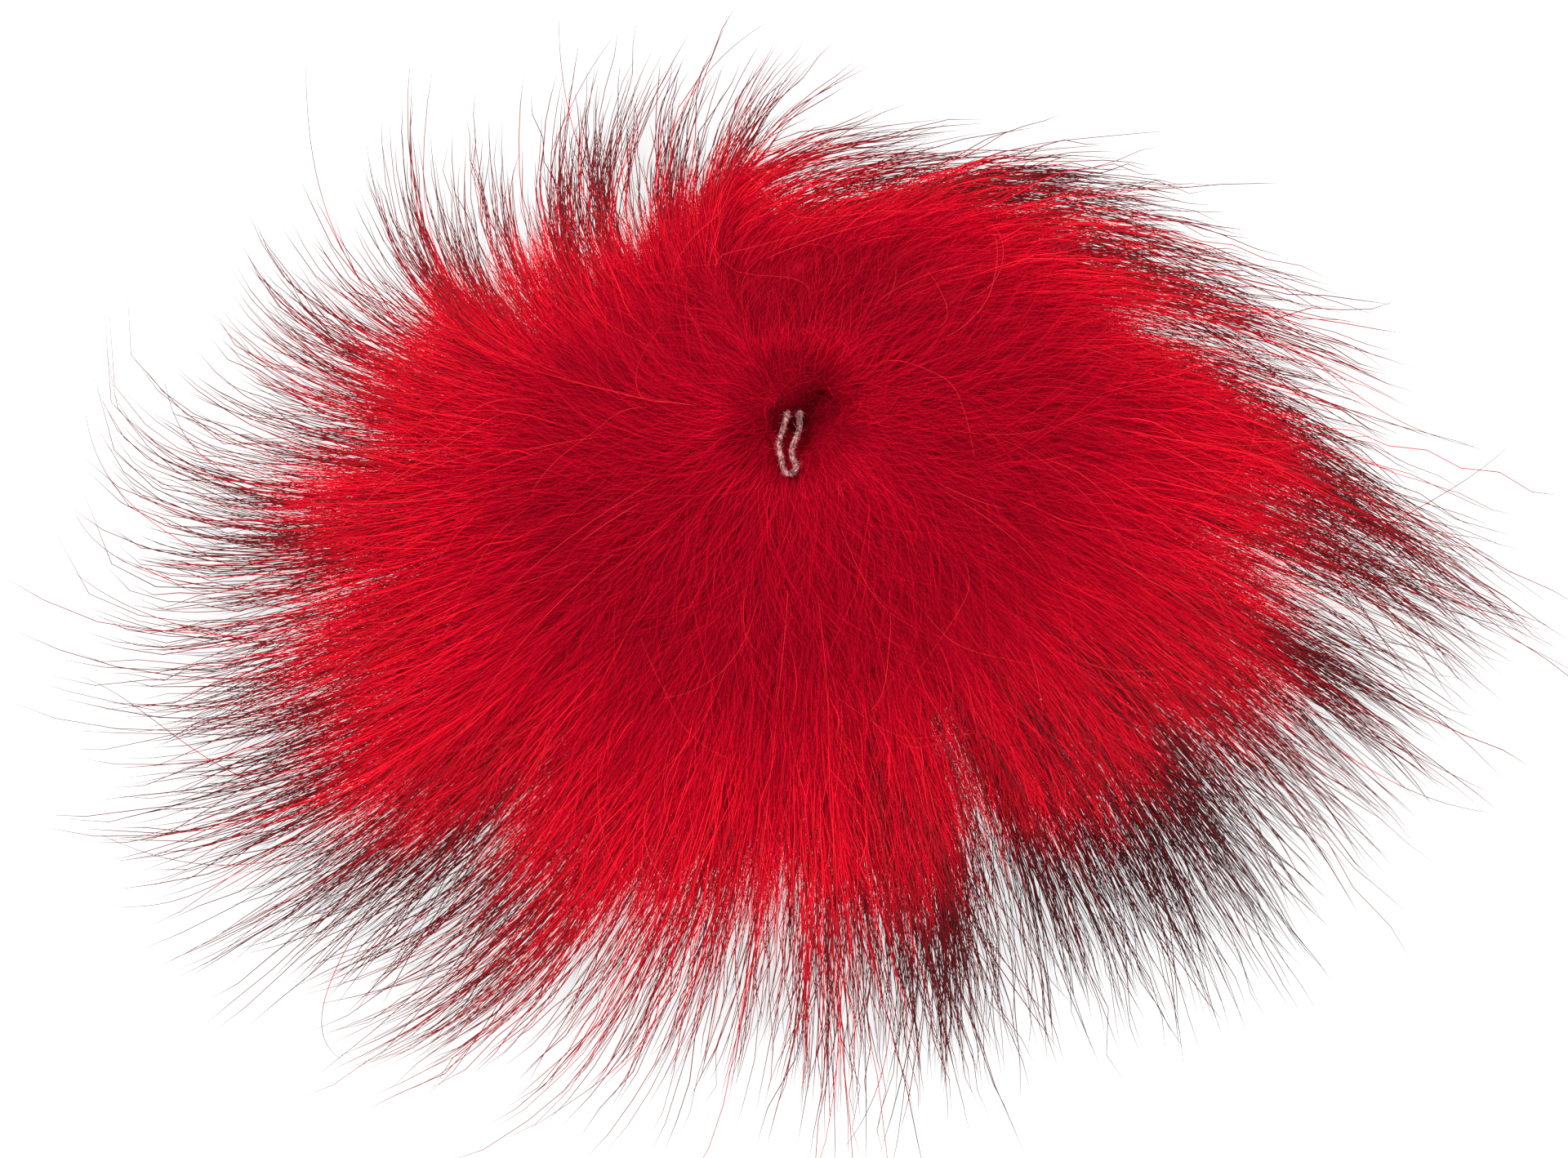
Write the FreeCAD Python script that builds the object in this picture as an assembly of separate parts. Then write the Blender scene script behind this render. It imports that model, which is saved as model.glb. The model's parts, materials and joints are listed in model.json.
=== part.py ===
import FreeCAD, Part
import math
import os

# A long-haired fur pompom, lying on its back with its gathered mouth up. A round of hide is drawn
# into a stuffed pouch by a thread; the fur spreads from it in locks; a yarn loop leaves the mouth.
# Millimetres. +X to the right, +Y away, +Z up. The origin is on the floor, in the middle of the
# fur's spread.

# ---- driving dimensions -------------------------------------------------------------------
SPREAD_X = 184.0            # hair tip to hair tip, left to right
SPREAD_Y = 140.0            # hair tip to hair tip, front to back
MOUTH_X = -2.4              # the mouth's upright axis
MOUTH_Y = 20.4

POUCH_RADIUS = 18.0         # hide ball, outside
POUCH_CENTRE_Z = 24.0
HIDE_THICKNESS = 1.0
RUFF_TOP_Z = 45.0           # the gathered edge of the hide stands up in pleats
RUFF_RADIUS = 3.4           # mean radius of the pleats
PLEAT_DEPTH = 0.8           # ridges and valleys, either side of the mean
PLEATS = 12
MOUTH_RADIUS = 1.9          # the hole that the pleats leave

THREAD_DIAMETER = 0.5
THREAD_RING_RADIUS = 3.3    # the running stitch, through the ridges and across the valleys
THREAD_Z = 43.2

YARN_DIAMETER = 0.6
LEG_SPACING = 1.4           # between the two legs of the yarn
HINGE_Z = 50.0              # where the yarn bends over, out of the fur
KNOT_CENTRE_Z = 37.2
KNOT_COIL_RADIUS = 1.45

WELL_RADIUS = 2.6           # upright well in the fur, over the mouth
WELL_SLOPE = 38.0           # degrees: the dimple in the fur round the well
PART_ANGLE = 0.5            # degrees: half of the gap between two locks
CLEARANCE = 0.2

# Height of the guard hair and of the underfur, as (share of the full spread, height).
GUARD_PROFILE = [(1.0, 0.0), (1.0, 3.0), (0.93, 9.0), (0.80, 19.0), (0.62, 31.0), (0.44, 42.0),
                 (0.27, 50.5), (0.15, 55.0), (0.08, 57.0)]
UNDERFUR_PROFILE = [(0.86, 0.0), (1.0, 8.0), (0.97, 18.0), (0.84, 29.0), (0.62, 39.0), (0.38, 47.0),
                    (0.16, 52.0)]

# Reach of the underfur from the mouth's axis, every 30 degrees from +X towards +Y.
UNDERFUR_REACH = [52.0, 37.0, 25.0, 22.0, 31.0, 39.0, 45.0, 56.0, 57.0, 48.0, 45.0, 52.0]

# The locks of guard hair, anticlockwise from the parting at the back. Each has the parting before
# it, as a point on the way and the notch at its end, and then its tip.
LOCKS = [
    ("guard_hair_crest", (-10.5, 33.9), (-5.5, 46.5), (-10.0, 71.0)),
    ("guard_hair_upper_left", (-20.5, 31.9), (-39.5, 52.0), (-48.0, 61.0)),
    ("guard_hair_left_fan", (-29.5, 27.9), (-59.5, 39.0), (-70.0, 42.0)),
    ("guard_hair_left", (-30.5, 19.9), (-62.0, 17.5), (-89.0, 20.0)),
    ("guard_hair_left_lower", (-39.5, 7.9), (-79.5, 0.5), (-93.0, -12.0)),
    ("guard_hair_lower_left", (-39.5, -8.1), (-79.5, -25.0), (-77.0, -44.0)),
    ("guard_hair_bottom_left", (-21.5, -13.1), (-46.0, -49.0), (-38.0, -64.0)),
    ("guard_hair_bottom", (-7.5, -18.1), (-15.0, -57.0), (-4.0, -71.0)),
    ("guard_hair_bottom_dark", (3.5, -13.1), (6.0, -50.0), (16.0, -65.0)),
    ("guard_hair_lower_right_dark", (10.5, -8.1), (22.0, -37.0), (55.0, -52.0)),
    ("guard_hair_lower_right", (30.5, -8.1), (65.0, -37.0), (83.0, -29.0)),
    ("guard_hair_right", (40.5, 3.9), (80.5, -15.0), (93.0, -2.0)),
    ("guard_hair_upper_right", (35.5, 21.9), (66.0, 16.5), (75.0, 17.0)),
]
UPPER_RIGHT_SHOULDERS = [(45.5, 43.0), (15.5, 50.0)]    # the swept lock's broad back
EDGE_BULGE = 0.06           # rise of a lock's outer edge, as a share of the edge

# The yarn, from where it leaves the fur on the left, round the bight and back on the right.
LOOP_ROUTE = [
    (-3.1, 20.0, 50.4), (-3.5, 19.0, 51.3), (-3.8, 18.0, 51.85), (-4.15, 16.95, 52.3),
    (-4.05, 15.85, 52.85), (-3.75, 14.85, 53.55), (-3.66, 14.0, 54.1), (-3.4, 13.37, 54.4),
    (-2.74, 13.18, 54.55), (-2.15, 13.56, 54.45), (-2.08, 14.2, 54.1), (-2.45, 14.95, 53.6),
    (-2.68, 15.85, 53.0), (-2.35, 16.95, 52.4), (-1.85, 18.05, 51.8), (-1.6, 19.05, 51.3),
    (-1.7, 20.0, 50.4),
]
LEFT_LEG_ROUTE = [(-3.1, 20.4, 50.0), (-3.2, 20.3, 47.0), (-3.0, 20.5, 43.6), (-3.1, 20.35, 40.4),
                  (-2.95, 20.4, 37.6)]
RIGHT_LEG_ROUTE = [(-1.7, 20.4, 50.0), (-1.65, 20.5, 46.6), (-1.85, 20.35, 43.2),
                   (-1.75, 20.45, 40.1), (-1.9, 20.4, 37.6)]
TAIL_ROUTES = [
    [(-3.2, 20.4, 37.0), (-3.7, 20.1, 34.9), (-3.6, 19.8, 32.6)],
    [(-1.6, 20.4, 37.0), (-1.3, 20.9, 35.1), (-1.5, 21.1, 33.2)],
]
THREAD_END_ROUTES = [
    [(-6.4, 20.4, 43.2), (-6.9, 21.2, 43.9), (-7.0, 22.0, 44.2)],
    [(-6.4, 20.4, 43.2), (-7.0, 19.7, 42.9), (-7.0, 18.7, 43.3)],
]

V = FreeCAD.Vector
UP = V(0, 0, 1)
MOUTH = V(MOUTH_X, MOUTH_Y, 0)
RUN_SHARE = 0.45            # an arc takes this much of the shorter of its two runs


# ---- helpers --------------------------------------------------------------------------------
def at_mouth(z):
    return V(MOUTH_X, MOUTH_Y, z)


def closed_spline(points):
    curve = Part.BSplineCurve()
    curve.interpolate(points, PeriodicFlag=True)
    return Part.Wire(curve.toShape())


def mound(outline, profile):
    """A solid whose level sections are the outline, drawn in towards the mouth's axis."""
    sections = []
    for share, height in profile:
        level = []
        for point in outline:
            level.append(MOUTH + (point - MOUTH) * share + UP * height)
        sections.append(closed_spline(level))
    return Part.makeLoft(sections, True, False)


def turned(point, degrees):
    """The point, turned about the mouth's axis."""
    angle = math.radians(degrees)
    dx = point.x - MOUTH_X
    dy = point.y - MOUTH_Y
    return V(MOUTH_X + dx * math.cos(angle) - dy * math.sin(angle),
             MOUTH_Y + dx * math.sin(angle) + dy * math.cos(angle), point.z)


def path_with_arcs(points):
    """Straight runs joined by tangent arcs, the arcs' smallest radius and the path's length."""
    corners = [V(*point) for point in points]
    edges = []
    radii = []
    start = corners[0]
    for before, corner, after in zip(corners, corners[1:], corners[2:]):
        run_in = corner - before
        run_out = after - corner
        half_turn = run_in.getAngle(run_out) / 2.0
        reach = RUN_SHARE * min(run_in.Length, run_out.Length)
        radius = reach / math.tan(half_turn)
        inward = V(run_in).normalize()
        outward = V(run_out).normalize()
        arc_start = corner - inward * reach
        arc_end = corner + outward * reach
        to_centre = V(outward - inward).normalize()
        middle = corner + to_centre * (radius / math.cos(half_turn) - radius)
        edges.append(Part.LineSegment(start, arc_start).toShape())
        edges.append(Part.Arc(arc_start, middle, arc_end).toShape())
        radii.append(radius)
        start = arc_end
    edges.append(Part.LineSegment(start, corners[-1]).toShape())
    wire = Part.Wire(edges)
    return wire, radii


def tube(name, points, diameter):
    wire, radii = path_with_arcs(points)
    first = V(*points[0])
    direction = V(*points[1]) - first
    circle = Part.Wire(Part.makeCircle(diameter / 2.0, first, direction))
    solid = wire.makePipeShell([circle], True, True)
    ideal = math.pi * diameter ** 2 / 4.0 * wire.Length
    print(f"{name}: length {wire.Length:.1f} mm, volume {solid.Volume / ideal:.3f} of its section "
          f"times length, arc radii {', '.join(f'{radius:.2f}' for radius in radii)}")
    return solid


def ball_end(points, diameter):
    return Part.makeSphere(diameter / 2.0, V(*points[-1]))


def tilted_ring(centre, radius, wire_diameter, axis):
    return Part.makeTorus(radius, wire_diameter / 2.0, centre, axis)


# ---- the pouch and what closes it -----------------------------------------------------------
def make_gathering_thread():
    return Part.makeTorus(THREAD_RING_RADIUS, THREAD_DIAMETER / 2.0, at_mouth(THREAD_Z), UP)


def make_hide_pouch(thread):
    ball = Part.makeSphere(POUCH_RADIUS, at_mouth(POUCH_CENTRE_Z))
    steps = PLEATS * 4
    rim = []
    for step in range(steps):
        angle = 2.0 * math.pi * step / steps
        radius = RUFF_RADIUS + PLEAT_DEPTH * math.cos(PLEATS * angle)
        rim.append(at_mouth(POUCH_CENTRE_Z + POUCH_RADIUS - 2.0)
                   + V(math.cos(angle), math.sin(angle), 0) * radius)
    ruff_height = RUFF_TOP_Z - rim[0].z
    ruff = Part.Face(closed_spline(rim)).extrude(UP * ruff_height)
    hollow = Part.makeSphere(POUCH_RADIUS - HIDE_THICKNESS, at_mouth(POUCH_CENTRE_Z))
    bore = Part.makeCylinder(MOUTH_RADIUS, POUCH_RADIUS, at_mouth(RUFF_TOP_Z - POUCH_RADIUS + 1.0))
    return ball.fuse(ruff).cut(hollow).cut(bore).cut(thread)


def make_gathering_knot(thread, hide):
    centre = V(MOUTH_X - THREAD_RING_RADIUS - PLEAT_DEPTH, MOUTH_Y, THREAD_Z)
    knot = Part.makeSphere(0.6, centre)
    for axis in (V(1, 0.4, 0.3), V(0.3, 1, 0.6), V(0.2, -0.5, 1)):
        knot = knot.fuse(tilted_ring(centre, 0.5, THREAD_DIAMETER * 0.8, axis))
    for number, route in enumerate(THREAD_END_ROUTES, start=1):
        knot = knot.fuse(tube(f"thread end {number}", route, THREAD_DIAMETER * 0.8))
    return knot.cut(thread).cut(hide)


def make_stuffing_ball():
    ball = Part.makeSphere(POUCH_RADIUS - HIDE_THICKNESS - 0.1, at_mouth(POUCH_CENTRE_Z))
    knot_room = Part.makeSphere(3.5, at_mouth(KNOT_CENTRE_Z))
    tail_room = Part.makeCylinder(3.0, 12.0, at_mouth(KNOT_CENTRE_Z - 6.5))
    return ball.cut(knot_room).cut(tail_room)


# ---- the yarn loop ---------------------------------------------------------------------------
def make_loop_knot():
    centre = at_mouth(KNOT_CENTRE_Z)
    knot = Part.makeSphere(1.6, centre)
    for axis in (V(1, 0.2, 0.5), V(-0.6, 1, 0.5), V(-0.4, -0.9, 0.7), V(0.1, 0.1, 1)):
        knot = knot.fuse(tilted_ring(centre, KNOT_COIL_RADIUS, YARN_DIAMETER * 1.15, axis))
    for number, route in enumerate(TAIL_ROUTES, start=1):
        knot = knot.fuse(tube(f"yarn end {number}", route, YARN_DIAMETER))
    return knot


def make_loop_legs(knot):
    legs = []
    for name, route in (("left leg", LEFT_LEG_ROUTE), ("right leg", RIGHT_LEG_ROUTE)):
        top = Part.makeSphere(YARN_DIAMETER / 2.0, V(*route[0]))
        leg = tube(name, route, YARN_DIAMETER).fuse(top).cut(knot)
        legs.append(max(leg.Solids, key=lambda solid: solid.Volume))
    return Part.makeCompound(legs)


# ---- the fur ---------------------------------------------------------------------------------
def make_well():
    """The upright well over the mouth, and the dimple that the fur makes round it."""
    shaft = Part.makeCylinder(WELL_RADIUS, HINGE_Z - POUCH_CENTRE_Z, at_mouth(POUCH_CENTRE_Z))
    dimple_height = 12.0
    top_radius = WELL_RADIUS + dimple_height / math.tan(math.radians(WELL_SLOPE))
    dimple = Part.makeCone(WELL_RADIUS, top_radius, dimple_height, at_mouth(HINGE_Z))
    return shaft.fuse(dimple)


def make_pouch_room():
    """The space in the underfur that the pouch, its ruff and the thread's knot fill."""
    ball = Part.makeSphere(POUCH_RADIUS + CLEARANCE, at_mouth(POUCH_CENTRE_Z))
    ruff_room = Part.makeCylinder(6.2, RUFF_TOP_Z + CLEARANCE - POUCH_CENTRE_Z,
                                  at_mouth(POUCH_CENTRE_Z))
    return ball.fuse(ruff_room)


def make_underfur_mound():
    outline = []
    for step, reach in enumerate(UNDERFUR_REACH):
        angle = 2.0 * math.pi * step / len(UNDERFUR_REACH)
        outline.append(MOUTH + V(math.cos(angle), math.sin(angle), 0) * reach)
    return mound(outline, UNDERFUR_PROFILE)


def make_guard_mound():
    outline = [V(*tip, 0) for name, waypoint, notch, tip in LOCKS]
    outline.extend(V(*point, 0) for point in UPPER_RIGHT_SHOULDERS)
    box = Part.makeBox(SPREAD_X, SPREAD_Y, 100.0, V(-SPREAD_X / 2.0, -SPREAD_Y / 2.0, 0))
    return mound(outline, GUARD_PROFILE).common(box)


def parting_edge(waypoint, notch, degrees):
    points = [MOUTH, turned(V(*waypoint, 0), degrees), turned(V(*notch, 0), degrees)]
    curve = Part.BSplineCurve()
    curve.interpolate(points)
    return curve.toShape()


def outer_edge(start, end):
    """An arc that bows away from the mouth."""
    chord = end - start
    across = V(chord.y, -chord.x, 0)
    middle = (start + end) * 0.5
    if across.dot(middle - MOUTH) < 0:
        across = across * -1.0
    return Part.Arc(start, middle + across * EDGE_BULGE, end).toShape()


def lock_outline(number):
    name, waypoint, notch, tip = LOCKS[number]
    next_waypoint, next_notch = LOCKS[(number + 1) % len(LOCKS)][1:3]
    first = turned(V(*notch, 0), PART_ANGLE)
    last = turned(V(*next_notch, 0), -PART_ANGLE)
    stops = [first, V(*tip, 0)]
    if name == "guard_hair_upper_right":
        stops.extend(V(*point, 0) for point in UPPER_RIGHT_SHOULDERS)
    stops.append(last)
    edges = [parting_edge(waypoint, notch, PART_ANGLE)]
    for start, end in zip(stops, stops[1:]):
        edges.append(outer_edge(start, end))
    edges.append(parting_edge(next_waypoint, next_notch, -PART_ANGLE))
    return Part.Wire(Part.__sortEdges__(edges))


def make_lock(number, guard_mound, underfur_mound, well):
    prism = Part.Face(lock_outline(number)).extrude(UP * 100.0)
    return prism.common(guard_mound).cut(underfur_mound).cut(well)


# ---- build -----------------------------------------------------------------------------------
def build():
    thread = make_gathering_thread()
    hide = make_hide_pouch(thread)
    knot = make_loop_knot()
    well = make_well()
    underfur_mound = make_underfur_mound()
    guard_mound = make_guard_mound()
    parts = {
        "hide_pouch": hide,
        "stuffing_ball": make_stuffing_ball(),
        "gathering_thread": thread,
        "gathering_knot": make_gathering_knot(thread, hide),
        "loop_knot": knot,
        "loop_legs": make_loop_legs(knot),
        "hanging_loop": tube("hanging loop", LOOP_ROUTE, YARN_DIAMETER),
        "underfur": underfur_mound.cut(make_pouch_room()).cut(well),
    }
    for number, lock in enumerate(LOCKS):
        parts[lock[0]] = make_lock(number, guard_mound, underfur_mound, well)
    return parts


def main():
    os.makedirs("parts", exist_ok=True)
    for name, shape in build().items():
        box = shape.BoundBox
        print(f"{name}: {len(shape.Solids)} solid, valid {shape.isValid()}, {shape.Volume:.1f} mm3, "
              f"x {box.XMin:.1f} {box.XMax:.1f} y {box.YMin:.1f} {box.YMax:.1f} "
              f"z {box.ZMin:.1f} {box.ZMax:.1f}")
        shape.exportStep(f"parts/{name}.step")


main()
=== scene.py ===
import json
import math

import bmesh
import bpy
import numpy as np
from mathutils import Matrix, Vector


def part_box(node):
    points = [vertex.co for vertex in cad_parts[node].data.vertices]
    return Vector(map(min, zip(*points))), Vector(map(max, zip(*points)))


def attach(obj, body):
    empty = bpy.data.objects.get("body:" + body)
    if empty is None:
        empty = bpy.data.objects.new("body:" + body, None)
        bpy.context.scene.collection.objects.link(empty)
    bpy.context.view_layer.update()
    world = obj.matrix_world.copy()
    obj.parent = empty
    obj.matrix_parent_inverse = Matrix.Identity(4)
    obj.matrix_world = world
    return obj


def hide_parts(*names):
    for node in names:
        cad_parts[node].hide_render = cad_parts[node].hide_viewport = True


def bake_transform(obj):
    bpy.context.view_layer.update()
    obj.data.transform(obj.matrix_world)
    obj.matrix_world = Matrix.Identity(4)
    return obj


# The looks of a long-haired fur pompom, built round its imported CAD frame. Lengths in the tables
# below are millimetres, in the frame's own axes; MM turns them into Blender's metres.

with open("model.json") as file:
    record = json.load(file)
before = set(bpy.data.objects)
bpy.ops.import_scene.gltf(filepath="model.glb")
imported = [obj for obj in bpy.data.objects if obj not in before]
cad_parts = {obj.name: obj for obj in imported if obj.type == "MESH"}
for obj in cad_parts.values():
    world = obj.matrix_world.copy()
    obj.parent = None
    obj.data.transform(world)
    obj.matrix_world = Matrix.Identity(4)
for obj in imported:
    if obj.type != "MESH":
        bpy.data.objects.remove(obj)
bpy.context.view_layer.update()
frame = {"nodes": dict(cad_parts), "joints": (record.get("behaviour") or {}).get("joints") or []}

MM = 0.001
SEED = 11
joints = {joint["name"]: joint for joint in frame["joints"]}
MOUTH = np.array(joints["loop_turn"]["pos_m"][:2]) / MM  # the mouth's upright axis, in plan
HINGE_Z = joints["loop_swing"]["pos_m"][2] / MM  # where the yarn bends out of the fur
random = np.random.default_rng(SEED)

# ---- the flow of the fur, laid out ----
# Each lock's lines of flow, anticlockwise from the parting at the back. A line leaves the mouth
# towards its first point and bends to end at its tip. Its last number is how dark the tips are.
GUIDES = {
    "crest": [
        ((-31, 54), (20, 58), 0.33), ((-22, 42), (1, 64), 0.53), ((-24, 37), (-10, 66), 0.58),
        ((-30, 34), (-20, 64), 0.58), ((-37, 30), (-29, 62), 0.53)],
    "upper_left": [
        ((-42, 24), (-36, 62), 0.46), ((-47, 20), (-44, 57), 0.41), ((-49, 21), (-51, 55), 0.46),
        ((-50, 22), (-56, 51), 0.51)],
    "left_fan": [
        ((-49, 23), (-61, 46), 0.54), ((-52, 21), (-66, 42), 0.44), ((-55, 18), (-70, 37), 0.39),
        ((-58, 14), (-73, 30), 0.34)],
    "left": [
        ((-66, 8), (-82, 20), 0.62), ((-68, 3), (-84, 17), 0.62), ((-69, -2), (-85, 13), 0.52)],
    "left_lower": [
        ((-67, -5), (-84, 6), 0.48), ((-66, -9), (-86, -3), 0.53), ((-64, -14), (-87, -12), 0.48),
        ((-61, -18), (-87, -19), 0.53)],
    "lower_left": [
        ((-56, -24), (-87, -22), 0.43), ((-52, -27), (-85, -28), 0.53), ((-49, -30), (-82, -34), 0.58),
        ((-43, -24), (-75, -40), 0.78), ((-37, -27), (-69, -47), 0.58)],
    "bottom_left": [
        ((-31, -32), (-62, -50), 0.76), ((-23, -34), (-56, -53), 0.56), ((-19, -40), (-48, -58), 0.36),
        ((-14, -44), (-36, -62), 0.36)],
    "bottom": [
        ((-9, -43), (-23, -64), 0.40), ((-5, -43), (-14, -66), 0.45), ((-1, -43), (-6, -67), 0.40),
        ((5, -43), (3, -68), 0.45)],
    "bottom_dark": [
        ((6, -28), (11, -62), 0.60), ((14, -26), (16, -63), 0.74), ((19, -24), (20, -59), 0.70)],
    "lower_right_dark": [
        ((24, -18), (32, -53), 0.95), ((26, -16), (40, -54), 1.00), ((32, -11), (51, -50), 1.05),
        ((36, -9), (58, -46), 0.95)],
    "lower_right": [
        ((40, -6), (65, -38), 0.72), ((43, -2), (72, -30), 0.67), ((45, 2), (78, -25), 0.62)],
    "right": [
        ((45, 8), (83, -18), 0.68), ((45, 15), (85, -12), 0.64), ((44, 24), (86, -7), 0.60),
        ((44, 35), (84, 0), 0.58)],
    "upper_right": [
        ((25, 42), (75, 15), 0.54), ((20, 48), (67, 25), 0.44), ((15, 54), (60, 33), 0.49),
        ((9, 57), (52, 38), 0.54), ((2, 58), (46, 40), 0.54), ((-7, 54), (38, 45), 0.44),
        ((-25, 49), (29, 48), 0.44)],
}

# How high the fur's surface is at a share of its reach, and how far the opaque wool goes.
SURFACE_SHARE = [0.00, 0.08, 0.15, 0.27, 0.44, 0.62, 0.80, 0.93, 1.00, 1.15]
SURFACE_HEIGHT = [56.0, 56.0, 54.3, 50.0, 41.5, 30.5, 18.5, 8.8, 4.0, 3.0]
CORE_SHARE = 0.50
WELL_RADIUS = 2.6
# The well in the wool: its radius, how far it is drawn out towards the slit, and its height.
WELL = [(0.3, 0.0, 38.4), (1.6, 0.0, 38.8), (1.6, 0.0, 44.0), (1.7, 0.4, 47.0), (1.9, 1.4, 48.6),
        (2.1, 1.8, 49.3)]
DIMPLE_SLOPE = math.tan(math.radians(38.0))
WELL_BRIM = 48.0  # above this height the well's wall sinks towards the slit
BACK_FOOT = (67.0, 5.0)  # the foot of the slope at the back: Y and height
BACK_SLOPE = 1.3
NOTCH_DEPTH = 0.10  # how much shorter the fur is where two locks part
NOTCH_WIDTH = 0.35  # of that dip, in guides

# ---- the yarn's route ----
# It repeats the CAD's, but the legs' first points are 0.4 mm lower, so that they bend evenly.
LEFT_LEG = [(-3.1, 20.3, 49.6), (-3.2, 20.3, 47.0), (-3.0, 20.5, 43.6), (-3.1, 20.35, 40.4),
            (-2.95, 20.4, 37.6)]
BIGHT = [(-3.1, 20.0, 50.4), (-3.5, 19.0, 51.3), (-3.8, 18.0, 51.85), (-4.15, 16.95, 52.3),
         (-4.05, 15.85, 52.85), (-3.75, 14.85, 53.55), (-3.66, 14.0, 54.1), (-3.4, 13.37, 54.4),
         (-2.74, 13.18, 54.55), (-2.15, 13.56, 54.45), (-2.08, 14.2, 54.1), (-2.45, 14.95, 53.6),
         (-2.68, 15.85, 53.0), (-2.35, 16.95, 52.4), (-1.85, 18.05, 51.8), (-1.6, 19.05, 51.3),
         (-1.7, 20.0, 50.4)]
RIGHT_LEG = [(-1.7, 20.3, 49.6), (-1.65, 20.5, 46.6), (-1.85, 20.35, 43.2), (-1.75, 20.45, 40.1),
             (-1.9, 20.4, 37.6)]
YARN_DIAMETER = 0.6
YARN_PLIES = 3
PLY_RADIUS = 0.27 * YARN_DIAMETER
PLY_SIDES = 8
TWIST_PITCH = 2.6  # the length of yarn in which its plies go round once

# ---- materials ----
UV_LAYER = "OFBake"
DEEP_RED = (0.42, 0.0005, 0.013)
# Partly the dye's red and partly a painted glow and painted sheen, for light shining through the thin
# hairs.
RED_WITH_PAINTED_GLOW = (0.98, 0.0070, 0.026)
MAROON = (0.31, 0.0050, 0.0120)
BROWN_BLACK = (0.050, 0.0055, 0.0075)


def new_material(name, roughness, specular=0.35, sheen=0.0):
    material = bpy.data.materials.new(name)
    material.use_nodes = True
    shader = material.node_tree.nodes["Principled BSDF"]
    shader.inputs["Roughness"].default_value = roughness
    shader.inputs["Specular IOR Level"].default_value = specular
    shader.inputs["Sheen Weight"].default_value = sheen
    return material, material.node_tree, shader


def ramp(tree, stops, source):
    node = tree.nodes.new("ShaderNodeValToRGB")
    elements = node.color_ramp.elements
    while len(elements) < len(stops):
        elements.new(0.5)
    for element, (position, colour) in zip(elements, stops):
        element.position = position
        element.color = (*colour, 1.0)
    tree.links.new(source, node.inputs["Fac"])
    return node.outputs["Color"]


def mix(tree, factor, first, second, blend="MIX"):
    node = tree.nodes.new("ShaderNodeMix")
    node.data_type = "RGBA"
    node.blend_type = blend
    for socket, value in ((node.inputs["Factor"], factor), (node.inputs["A"], first),
                          (node.inputs["B"], second)):
        if isinstance(value, (int, float)):
            socket.default_value = value
        elif isinstance(value, tuple):
            socket.default_value = (*value, 1.0)
        else:
            tree.links.new(value, socket)
    return node.outputs["Result"]


def maths(tree, operation, first, second=0.0, clamp=False):
    node = tree.nodes.new("ShaderNodeMath")
    node.operation = operation
    node.use_clamp = clamp
    for socket, value in zip(node.inputs, (first, second)):
        if isinstance(value, (int, float)):
            socket.default_value = value
        else:
            tree.links.new(value, socket)
    return node.outputs["Value"]


def noise(tree, vector, scale, detail=3.0, roughness=0.6):
    node = tree.nodes.new("ShaderNodeTexNoise")
    node.inputs["Scale"].default_value = scale
    node.inputs["Detail"].default_value = detail
    node.inputs["Roughness"].default_value = roughness
    tree.links.new(vector, node.inputs["Vector"])
    return node.outputs["Fac"]


def grey(value):
    return (value, value, value)


def darkened(tree, colour, *layers):
    """The colour multiplied by each layer in turn."""
    for layer in layers:
        colour = mix(tree, 1.0, colour, layer, "MULTIPLY")
    return colour


def paint(tree, shader, colour):
    tree.links.new(colour, shader.inputs["Base Color"])


def object_place(tree):
    return tree.nodes.new("ShaderNodeTexCoord").outputs["Object"]


def stretched(tree, vector, scale):
    node = tree.nodes.new("ShaderNodeMapping")
    node.inputs["Scale"].default_value = scale
    tree.links.new(vector, node.inputs["Vector"])
    return node.outputs["Vector"]


def strand_coordinates(tree):
    """A hair's own place: across is a number of its own, from pale to dark, and along is root to tip."""
    uv = tree.nodes.new("ShaderNodeUVMap")
    uv.uv_map = UV_LAYER
    split = tree.nodes.new("ShaderNodeSeparateXYZ")
    tree.links.new(uv.outputs["UV"], split.inputs["Vector"])
    return uv.outputs["UV"], split.outputs["X"], split.outputs["Y"]


def bump(tree, shader, height, strength, distance):
    node = tree.nodes.new("ShaderNodeBump")
    node.inputs["Strength"].default_value = strength
    node.inputs["Distance"].default_value = distance
    tree.links.new(height, node.inputs["Height"])
    tree.links.new(node.outputs["Normal"], shader.inputs["Normal"])


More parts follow.
